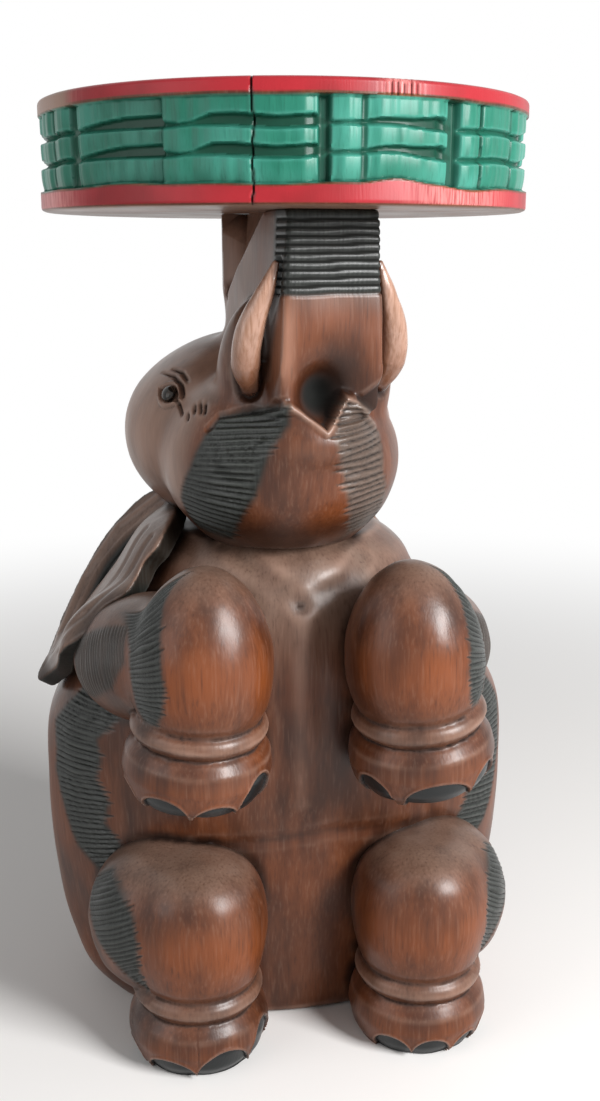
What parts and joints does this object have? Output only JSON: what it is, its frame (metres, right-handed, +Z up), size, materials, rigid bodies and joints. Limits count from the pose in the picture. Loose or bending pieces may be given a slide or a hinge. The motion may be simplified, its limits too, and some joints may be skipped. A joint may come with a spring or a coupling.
{
  "type": "carved elephant stool",
  "caption": "Carved wooden stool or plant stand: a seated elephant holds up a round painted top on its raised trunk.",
  "frame": {"origin": "on the floor, below the centre of the round top", "axes": "+Z up, the elephant faces -Y, +X is the elephant's left"},
  "size_m": [0.2982, 0.2822, 0.56],
  "materials": {
    "carved_wood": "satin varnish over reddish-brown stained hardwood, worn orange on the high places",
    "painted_rim": "worn green paint between dull red bands, bare wood underneath",
    "tusk_paint": "satin cream paint with a brown glaze in its hollows",
    "eye_bead": "glossy near-black",
    "dowel_wood": "bare turned hardwood"
  },
  "bodies": {
    "root": {"body": "carved_wood", "ear_dowels": "dowel_wood", "ear_left": "carved_wood", "ear_right": "carved_wood", "eye_left": "eye_bead", "eye_right": "eye_bead", "foreleg_dowels": "dowel_wood", "foreleg_left": "carved_wood", "foreleg_right": "carved_wood", "head": "carved_wood", "hind_leg_dowels": "dowel_wood", "hind_leg_left": "carved_wood", "hind_leg_right": "carved_wood", "neck_dowels": "dowel_wood", "round_top": "painted_rim", "top_dowels": "dowel_wood", "tusk_left": "tusk_paint", "tusk_right": "tusk_paint"}
  },
  "joints": []
}
